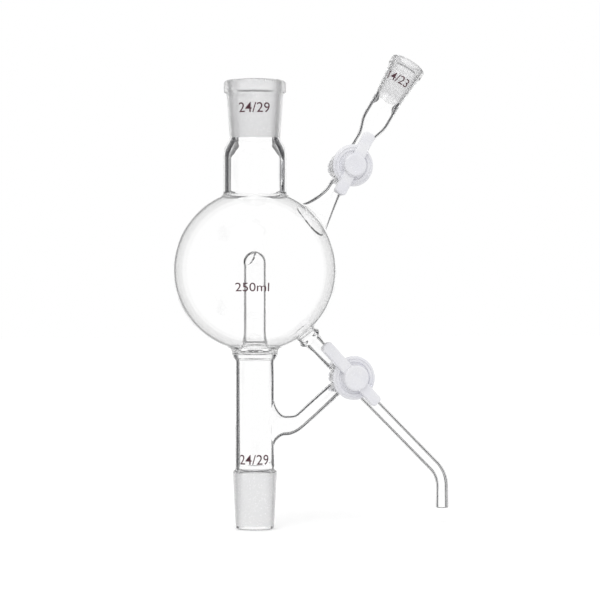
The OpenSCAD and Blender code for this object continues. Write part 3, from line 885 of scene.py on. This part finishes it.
def plug(key):
    """The tapered plug: core with its passages, square tang in front and threaded stud behind."""
    front, back = key_ends(key)
    high = front + STACK_GAP
    outline = plug_outline(0.6 * MM - back, high)
    tang = square_block(TANG_H + 0.5 * MM, high + TANG_H / 2 - 0.3 * MM)
    bmesh.ops.bevel(tang, geom=tang.edges, offset=0.3 * MM, offset_type="OFFSET", segments=2,
                    profile=0.5, affect="EDGES", material=-1)
    holes = [facing(key, passage_hole(deg)) for deg in KEYS[key]["passages"]]
    body = finished(facing(key, turned(outline, KEY_SIDES)), key + "_plug_turned")
    fused(body, gathered("tang", [facing(key, tang)]), "UNION")
    fused(body, gathered("holes", holes), "DIFFERENCE")
    return dressed(body, key, "_plug", "key_polymer", 35)


def hollow_piece(key, rings, name):
    """One of the rings that the key's stud goes through."""
    return finished(facing(key, stretched(rings, hollow=True)), key + name)


def washer(key):
    """A flat washer with eased edges."""
    top = -key_ends(key)[1] - STACK_GAP
    low = top - WASHER_T
    edge = 0.2 * MM
    bore = STUD_R + 0.02 * MM
    profile = [(bore, low), (WASHER_R - edge, low), (WASHER_R, low + edge),
               (WASHER_R, top - edge), (WASHER_R - edge, top), (bore, top)]
    rings = [circle_at(z, radius, KEY_SIDES) for radius, z in profile]
    body = hollow_piece(key, rings, "_washer_turned")
    return dressed(body, key, "_washer", "key_polymer", 50)


def sealing_ring(key):
    """A rubber ring of round section between the washer and the nut."""
    half = RING_T / 2
    middle = -key_ends(key)[1] - STACK_GAP - WASHER_T - half
    rings = []
    for i in range(20):
        angle = math.tau * i / 20
        rings.append(circle_at(middle + half * math.sin(angle), STUD_R + half + half * math.cos(angle), 64))
    body = hollow_piece(key, rings, "_sealing_ring_round")
    return dressed(body, key, "_sealing_ring", "seal_rubber", 60)


def lock_nut(key):
    """A moulded nut with grip grooves round it, a dished face and a chamfered bore."""
    top = -key_ends(key)[1] - 2 * STACK_GAP - WASHER_T - RING_T
    low = top - NUT_H
    bore = STUD_R + 0.1 * MM
    # Radius, height and how deep the grooves are there
    profile = [
        (bore, low + 0.5 * MM, 0), (bore + 0.5 * MM, low + 0.05 * MM, 0), (WASHER_R - 1.9 * MM, low, 0),
        (WASHER_R - 1.4 * MM, low + 0.25 * MM, 0.1), (WASHER_R - 0.8 * MM, low + 0.25 * MM, 0.3),
        (WASHER_R - 0.25 * MM, low + 0.55 * MM, 0.8), (WASHER_R, low + 1.1 * MM, 1),
        (WASHER_R, top - 0.7 * MM, 1), (WASHER_R - 0.25 * MM, top - 0.2 * MM, 0.8),
        (WASHER_R - 0.7 * MM, top, 0.4), (bore + 0.5 * MM, top, 0), (bore, top - 0.5 * MM, 0),
    ]
    rings = [circle_at(z, radius, 12 * NUT_GROOVES, 0.55 * MM * depth, NUT_GROOVES)
             for radius, z, depth in profile]
    body = hollow_piece(key, rings, "_lock_nut_moulded")
    return dressed(body, key, "_lock_nut", "handle_polymer", 40, key + "_nut")


# ---- Printed marks ----

PRINT_GAP = 0.01 * MM
PRINT_T = 0.05 * MM
PRINT_STRIPS = 24


def flat_words(name, words, width, height):
    """Words as a flat mesh of a given size round the origin, cut in strips so that they can be wrapped."""
    curve = bpy.data.curves.new(name, "FONT")
    curve.body = words
    curve.align_x = "CENTER"
    curve.align_y = "CENTER"
    curve.size = 1
    curve.resolution_u = 4
    curve.offset = 0.002
    flat = bpy.data.objects.new(name + "_flat", curve)
    bpy.context.scene.collection.objects.link(flat)
    mesh = bpy.data.meshes.new_from_object(flat.evaluated_get(bpy.context.evaluated_depsgraph_get()))
    bpy.data.objects.remove(flat)
    bm = bmesh.new()
    bm.from_mesh(mesh)
    low, high = (Vector([pick(v.co[k] for v in bm.verts) for k in range(2)]) for pick in (min, max))
    middle, size = (low + high) / 2, high - low
    for vert in bm.verts:
        vert.co = ((vert.co.x - middle.x) / size.x * width, (vert.co.y - middle.y) / size.y * height, 0)
    bmesh.ops.remove_doubles(bm, verts=bm.verts, dist=1e-6)
    for i in range(1, PRINT_STRIPS):
        place = (width * (i / PRINT_STRIPS - 0.5), 0, 0)
        bmesh.ops.bisect_plane(bm, geom=list(bm.verts) + list(bm.edges) + list(bm.faces), dist=1e-7,
                               plane_co=place, plane_no=(1, 0, 0))
    return bm


def mark(name, words, width, height, way, centre, carrier):
    """Enamel numbers printed on the glass, wrapped round the axis that runs along way through centre.

    The middle of the words lies where the ray through its image point meets the glass."""
    bm = flat_words(name, words, width, height)
    place = seen_at(PHOTO_POINTS[name], carrier)
    far = (place - centre).dot(way)
    out = place - centre - way * far
    radius = out.length
    out.normalize()
    side = way.cross(out)
    for vert in bm.verts:
        turn = vert.co.x / radius
        direction = out * math.cos(turn) + side * math.sin(turn)
        start = centre + way * (far + vert.co.y)
        hit = carrier.ray_cast(start + direction * (radius + 15 * MM), -direction)[0]
        vert.co = (hit if hit else start + direction * radius) + direction * PRINT_GAP
    bmesh.ops.recalc_face_normals(bm, faces=bm.faces)
    for face in bm.faces:
        if face.normal.dot(out) < 0:
            face.normal_flip()
    made = finished(bm, name, 60)
    thick = made.modifiers.new("thickness", "SOLIDIFY")
    thick.thickness = PRINT_T
    thick.offset = 1
    made.data.materials.append(LOOKS["print_enamel"])
    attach(made, "glass")
    return made


# ---- Materials ----


def new_material(name):
    material = bpy.data.materials.new(name)
    material.use_nodes = True
    nodes = material.node_tree.nodes
    return material, nodes, material.node_tree.links, nodes["Principled BSDF"]


def given(node, values):
    """Sets the plain values of a node's inputs."""
    for name, value in values.items():
        node.inputs[name].default_value = value


def surface_grain():
    """Node group that puts out a fine and a broad mask, from 0 to 1, over the piece's own coordinates."""
    group = bpy.data.node_groups.new("surface_grain", "ShaderNodeTree")
    for name, value in (("Fine Scale", 900.0), ("Broad Scale", 60.0)):
        group.interface.new_socket(name, in_out="INPUT", socket_type="NodeSocketFloat").default_value = value
    for name in ("Fine", "Broad"):
        group.interface.new_socket(name, in_out="OUTPUT", socket_type="NodeSocketFloat")
    nodes, links = group.nodes, group.links
    ins, outs = nodes.new("NodeGroupInput"), nodes.new("NodeGroupOutput")
    place = nodes.new("ShaderNodeTexCoord")
    for scale, mask, detail in (("Fine Scale", "Fine", 3.0), ("Broad Scale", "Broad", 2.0)):
        noise = nodes.new("ShaderNodeTexNoise")
        noise.inputs["Detail"].default_value = detail
        links.new(place.outputs["Object"], noise.inputs["Vector"])
        links.new(ins.outputs[scale], noise.inputs["Scale"])
        links.new(noise.outputs["Fac"], outs.inputs[mask])
    return group


def grained(nodes, fine_scale, broad_scale):
    grain = nodes.new("ShaderNodeGroup")
    grain.node_tree = LOOKS["surface_grain"]
    given(grain, {"Fine Scale": fine_scale, "Broad Scale": broad_scale})
    return grain


def relief(nodes, links, shader, height, strength, distance):
    bump = nodes.new("ShaderNodeBump")
    given(bump, {"Strength": strength, "Distance": distance})
    links.new(height, bump.inputs["Height"])
    links.new(bump.outputs["Normal"], shader.inputs["Normal"])


def shaded(nodes, links, shader, mask, first, second):
    """Base colour between two shades by a mask."""
    ramp = nodes.new("ShaderNodeMapRange")
    given(ramp, {"From Min": 0.35, "From Max": 0.65})
    mix = nodes.new("ShaderNodeMix")
    mix.data_type = "RGBA"
    mix.inputs["A"].default_value = (*first, 1)
    mix.inputs["B"].default_value = (*second, 1)
    links.new(mask, ramp.inputs["Value"])
    links.new(ramp.outputs["Result"], mix.inputs["Factor"])
    links.new(mix.outputs["Result"], shader.inputs["Base Color"])


def rough(nodes, links, shader, mask, low, high):
    """Roughness between two values by a mask."""
    spread = nodes.new("ShaderNodeMapRange")
    given(spread, {"From Min": 0.3, "From Max": 0.7, "To Min": low, "To Max": high})
    links.new(mask, spread.inputs["Value"])
    links.new(spread.outputs["Result"], shader.inputs["Roughness"])


def surfaced(name, scales, shades, roughness, strength, depth=0.05 * MM):
    """A material with grain: two shades, a spread of roughness and a fine relief."""
    material, nodes, links, shader = new_material(name)
    grain = grained(nodes, *scales)
    shaded(nodes, links, shader, grain.outputs["Broad"], *shades)
    rough(nodes, links, shader, grain.outputs["Fine"], *roughness)
    relief(nodes, links, shader, grain.outputs["Fine"], strength, depth)
    return material, shader


GLASS_IOR = 1.474


def clear_glass():
    """Fire-polished glass with the faint waves of hand work."""
    material, nodes, links, shader = new_material("clear_glass")
    given(shader, {"Base Color": (1, 1, 1, 1), "Roughness": 0.0})
    given(shader, {"IOR": GLASS_IOR, "Transmission Weight": 1.0})
    grain = grained(nodes, 400, 45)
    relief(nodes, links, shader, grain.outputs["Broad"], 0.12, 0.3 * MM)
    return material


def ground_glass():
    """Glass ground with fine grit: a milky, even surface with a faint grain."""
    shades = (0.975, 0.975, 0.985), (0.995, 0.995, 1.0)
    material, shader = surfaced("ground_glass", (2600, 120), shades, (0.2, 0.28), 0.06)
    given(shader, {"IOR": GLASS_IOR, "Transmission Weight": 0.55})
    return material


def handle_polymer():
    """Natural moulded polymer: waxy, cloudy and a little see-through."""
    shades = (0.86, 0.86, 0.905), (0.91, 0.91, 0.935)
    material, shader = surfaced("handle_polymer", (1500, 110), shades, (0.2, 0.3), 0.03)
    given(shader, {"IOR": 1.4, "Transmission Weight": 0.05})
    return material


def key_polymer():
    """White waxy fluoropolymer, turned on a lathe."""
    shades = (0.84, 0.84, 0.88), (0.92, 0.92, 0.95)
    material, shader = surfaced("key_polymer", (1800, 140), shades, (0.3, 0.45), 0.05)
    given(shader, {"IOR": 1.36, "Transmission Weight": 0.15})
    return material


def seal_rubber():
    """Dull black rubber."""
    shades = (0.035, 0.035, 0.038), (0.06, 0.06, 0.062)
    return surfaced("seal_rubber", (2200, 300), shades, (0.6, 0.8), 0.3)[0]


def print_enamel():
    """Very dark purple-brown enamel, fired on, a little uneven."""
    shades = (0.05, 0.008, 0.018), (0.09, 0.02, 0.035)
    return surfaced("print_enamel", (3000, 700), shades, (0.35, 0.55), 0.2, 0.03 * MM)[0]


# ---- Camera, light and background ----

CAMERA_AZIMUTH = -17
CAMERA_DISTANCE = 1.25
CAMERA_LENS = 137.5
CAMERA_HEIGHT = 93.9 * MM
CAMERA_SIDEWAYS = 24.6 * MM


def camera():
    turn = math.radians(CAMERA_AZIMUTH)
    right = Vector((math.cos(turn), math.sin(turn), 0))
    away = Vector((math.sin(turn), -math.cos(turn), 0))
    data = bpy.data.cameras.new("camera")
    data.lens = CAMERA_LENS
    data.sensor_fit = "AUTO"
    data.clip_start = 0.01
    data.clip_end = 20
    made = bpy.data.objects.new("camera", data)
    bpy.context.scene.collection.objects.link(made)
    made.location = right * CAMERA_SIDEWAYS + away * CAMERA_DISTANCE + Vector((0, 0, CAMERA_HEIGHT))
    made.rotation_mode = "QUATERNION"
    made.rotation_quaternion = (-away).to_track_quat("-Z", "Y")
    bpy.context.scene.camera = made
    bpy.context.view_layer.update()
    return made


def background(nodes, strength):
    made = nodes.new("ShaderNodeBackground")
    given(made, {"Color": (1, 1, 1, 1), "Strength": strength})
    return made


def joined(nodes, links, operation, first, second):
    """Output of a Math node between an output and another output or a number."""
    made = nodes.new("ShaderNodeMath")
    made.operation = operation
    links.new(first, made.inputs[0])
    if isinstance(second, float):
        made.inputs[1].default_value = second
    else:
        links.new(second, made.inputs[1])
    return made.outputs[0]


def seen_directly(nodes, links, rays):
    """A mask of the kinds of ray that show the background."""
    path = nodes.new("ShaderNodeLightPath")
    mask = path.outputs[rays[0]]
    for kind in rays[1:]:
        mask = joined(nodes, links, "MAXIMUM", mask, path.outputs[kind])
    return mask


WORLD_LIGHT = 0.86


def world():
    """White to the camera and in the glass, a plain even light for everything else."""
    made = bpy.data.worlds.new("studio")
    bpy.context.scene.world = made
    made.use_nodes = True
    nodes, links = made.node_tree.nodes, made.node_tree.links
    nodes.clear()
    out = nodes.new("ShaderNodeOutputWorld")
    mix = nodes.new("ShaderNodeMixShader")
    shown = seen_directly(nodes, links, ("Is Camera Ray", "Is Glossy Ray", "Is Transmission Ray"))
    links.new(shown, mix.inputs[0])
    links.new(background(nodes, WORLD_LIGHT).outputs[0], mix.inputs[1])
    links.new(background(nodes, 1.0).outputs[0], mix.inputs[2])
    links.new(mix.outputs[0], out.inputs[0])


def lamp():
    """One broad soft lamp from the upper left, in front."""
    data = bpy.data.lights.new("soft_lamp", "SUN")
    data.energy = 0.6
    data.angle = math.radians(40)
    made = bpy.data.objects.new("soft_lamp", data)
    bpy.context.scene.collection.objects.link(made)
    made.rotation_euler = (math.radians(38), math.radians(-18), math.radians(-10))


FLOOR_COLOUR = 0.85
FLOOR_LIFT = 0.26
FLOOR_SIZE = 12
FLOOR_GAP = 0.2 * MM


def floor():
    """A pale floor under the tip of the cone, which shows white and keeps the object's shadow."""
    bm = bmesh.new()
    bmesh.ops.create_grid(bm, x_segments=1, y_segments=1, size=FLOOR_SIZE / 2,
                          matrix=Matrix.Translation((0, 0, CAD_BOX[0].z - FLOOR_GAP)))
    made = finished(bm, "floor")
    material, nodes, links, shader = new_material("floor")
    given(shader, {
        "Base Color": (FLOOR_COLOUR, FLOOR_COLOUR, FLOOR_COLOUR, 1), "Roughness": 0.9,
        "Specular IOR Level": 0.0, "Emission Color": (1, 1, 1, 1),
    })
    lift = joined(nodes, links, "MULTIPLY", seen_directly(nodes, links, ("Is Camera Ray",)), FLOOR_LIFT)
    links.new(lift, shader.inputs["Emission Strength"])
    made.data.materials.append(material)
    made.visible_transmission = False
    made.visible_glossy = False


# The frame stands this far behind the object, between two angles seen from it, and passes light
# that has crossed the faces of two walls and been mirrored between them
SURROUND_BEHIND = 1.6
SURROUND_FROM = 20
SURROUND_TO = 57
HOLLOW_WALLS = 4.0


def dark_surround():
    """A dark frame beside the background, past the camera's view, as glass is lit in a studio.

    It travels with the camera and shows only in the glass, whose walls bend their light that far.
    Light that a frosted face scattered, or that was mirrored inside a hollow, passes through it."""
    behind = CAMERA_DISTANCE + SURROUND_BEHIND
    bm = bmesh.new()
    near, far = (math.tan(math.radians(deg)) for deg in (SURROUND_FROM, SURROUND_TO))
    bmesh.ops.create_circle(bm, segments=96, radius=SURROUND_BEHIND * near)
    grown = bmesh.ops.extrude_edge_only(bm, edges=list(bm.edges))["geom"]
    outer = [v for v in grown if isinstance(v, bmesh.types.BMVert)]
    scale = far / near
    bmesh.ops.scale(bm, verts=outer, vec=(scale, scale, 1))
    bmesh.ops.translate(bm, verts=bm.verts, vec=(0, 0, -behind))
    card = finished(bm, "dark_surround")
    material = bpy.data.materials.new("dark_surround")
    material.use_nodes = True
    nodes = material.node_tree.nodes
    nodes.clear()
    links = material.node_tree.links
    out = nodes.new("ShaderNodeOutputMaterial")
    dark = nodes.new("ShaderNodeEmission")
    dark.inputs["Color"].default_value = (0.02, 0.02, 0.025, 1)
    path = nodes.new("ShaderNodeLightPath")
    walls = joined(nodes, links, "COMPARE", path.outputs["Transmission Depth"], HOLLOW_WALLS)
    mirrored = joined(nodes, links, "MINIMUM", walls, path.outputs["Glossy Depth"])
    passed = joined(nodes, links, "MAXIMUM", mirrored, path.outputs["Diffuse Depth"])
    mix = nodes.new("ShaderNodeMixShader")
    links.new(passed, mix.inputs[0])
    links.new(dark.outputs[0], mix.inputs[1])
    links.new(nodes.new("ShaderNodeBsdfTransparent").outputs[0], mix.inputs[2])
    links.new(mix.outputs[0], out.inputs[0])
    card.data.materials.append(material)
    card.parent = CAMERA
    card.visible_camera = False
    card.visible_diffuse = False
    card.visible_shadow = False
    card.visible_glossy = False
    card.visible_volume_scatter = False


def settings():
    scene = bpy.context.scene
    scene.view_settings.view_transform = "Standard"
    scene.cycles.max_bounces = 32
    scene.cycles.transmission_bounces = 32
    scene.cycles.glossy_bounces = 16
    scene.cycles.transparent_max_bounces = 32


# ---- Placing by image points ----


def focal():
    """The camera's focal length in pixels."""
    data = CAMERA.data
    return max(IMAGE_W, IMAGE_H) * data.lens / data.sensor_width


def seen_at(point, carrier):
    """Place where the ray through an image point meets a carrier, or the carrier's nearest to the ray."""
    data, span = CAMERA.data, max(IMAGE_W, IMAGE_H)
    x, y = point
    ray = Vector((x - IMAGE_W / 2 + data.shift_x * span, IMAGE_H / 2 - y + data.shift_y * span, -focal()))
    start = CAMERA.matrix_world.translation
    way = (CAMERA.matrix_world.to_3x3() @ ray).normalized()
    hit = carrier.ray_cast(start, way)[0]
    if hit:
        return hit
    # Places along the ray from a little before the main axis to a little past it
    tries = [start + way * CAMERA_DISTANCE * (0.85 + 0.001 * i) for i in range(300)]
    return min((carrier.find_nearest(place) for place in tries), key=lambda found: found[3])[0]


def shown_at(place):
    """Image point, in the photograph's frame, at which a place shows."""
    data, span = CAMERA.data, max(IMAGE_W, IMAGE_H)
    seen = CAMERA.matrix_world.inverted() @ place
    return (IMAGE_W / 2 - seen.x / seen.z * focal() - data.shift_x * span,
            IMAGE_H / 2 + seen.y / seen.z * focal() + data.shift_y * span)


def middle_of(places):
    shown = [shown_at(p) for p in places]
    return [(min(p[k] for p in shown) + max(p[k] for p in shown)) / 2 for k in range(2)]


def named_places(glass):
    """The places whose middle shows at each image point, but for those of the marks."""
    side_far = (SIDE_TOP - VENT_AT).length

    def off_port(place):
        out = place - Vector((0, 0, PORT_Z))
        return (out - PORT_WAY * out.dot(PORT_WAY)).length

    groups = {
        "upper_rim": [p for p in glass if p.z > SOCKET_TOP - 0.3 * MM
                      and JOINT_R + MM < p.xy.length < RIM_R + MM],
        "cone_tip": [p for p in glass if p.z < CONE_LOW + 0.2 * MM and max(abs(p.x), abs(p.y)) < CONE_R],
        "vapour_port": [p for p in glass if p.xy.length < VAPOUR_R + 0.1 * MM and p.dot(PORT_WAY) > 0
                        and abs(off_port(p) - PORT_R) < 0.03 * MM],
        "drip_end": [p for p in glass if p.x > DRIP_AT.x - 5 * MM and p.z < DRIP_AT.z - 5.5 * MM],
        "side_rim": [p for p in glass if (p - VENT_AT).dot(VENT_WAY) > side_far - 0.3 * MM],
    }
    for key in KEYS:
        face = KEYS[key]["at"].y - key_ends(key)[0] - STACK_GAP - PLATE_T - BOSS_H
        moulding = bpy.data.objects[key + "_handle_moulding"].data
        groups[key + "_boss"] = [v.co for v in moulding.vertices if v.co.y < face + 1.5 * MM]
    return groups


def write_points(body, pieces):
    """Works out how far, in x and y, each named thing shows from its image point."""
    shown = [shown_at(v.co) for piece in pieces for v in piece.data.vertices]
    edges = {
        "left": min(x for x, y in shown), "right": max(x for x, y in shown),
        "top": min(y for x, y in shown), "bottom": max(y for x, y in shown),
    }
    off = {name: round(edges[name] - value, 2) for name, value in PHOTO_EDGES.items()}
    groups = named_places([v.co for v in body.data.vertices])
    for name in PHOTO_POINTS:
        places = groups.get(name) or [v.co for v in bpy.data.objects[name].data.vertices]
        x, y = middle_of(places)
        off[name] = [round(x - PHOTO_POINTS[name][0], 2), round(y - PHOTO_POINTS[name][1], 2)]


# ---- The scene ----

settings()
CAMERA = camera()
world()
lamp()
floor()
dark_surround()
LOOKS = {"surface_grain": surface_grain()}
for make in (clear_glass, ground_glass, handle_polymer, key_polymer, seal_rubber, print_enamel):
    LOOKS[make.__name__] = make()
BODY = glassware()
KEY_PIECES = [make(key) for key in KEYS for make in (handle, plug, washer, sealing_ring, lock_nut)]
GLASS = BVHTree.FromPolygons([v.co for v in BODY.data.vertices], [p.vertices for p in BODY.data.polygons])
MARKS = [
    mark("upper_mark", "24/29", 17.5 * MM, 5.4 * MM, UPWAY, Vector(), GLASS),
    mark("bulb_mark", "250ml", 18 * MM, 4.6 * MM, UPWAY, Vector(), GLASS),
    mark("lower_mark", "24/29", 17 * MM, 5.4 * MM, UPWAY, Vector(), GLASS),
    mark("side_mark", "14/23", 13.2 * MM, 4.8 * MM, VENT_WAY, VENT_AT, GLASS),
]
write_points(BODY, [BODY] + MARKS + KEY_PIECES)
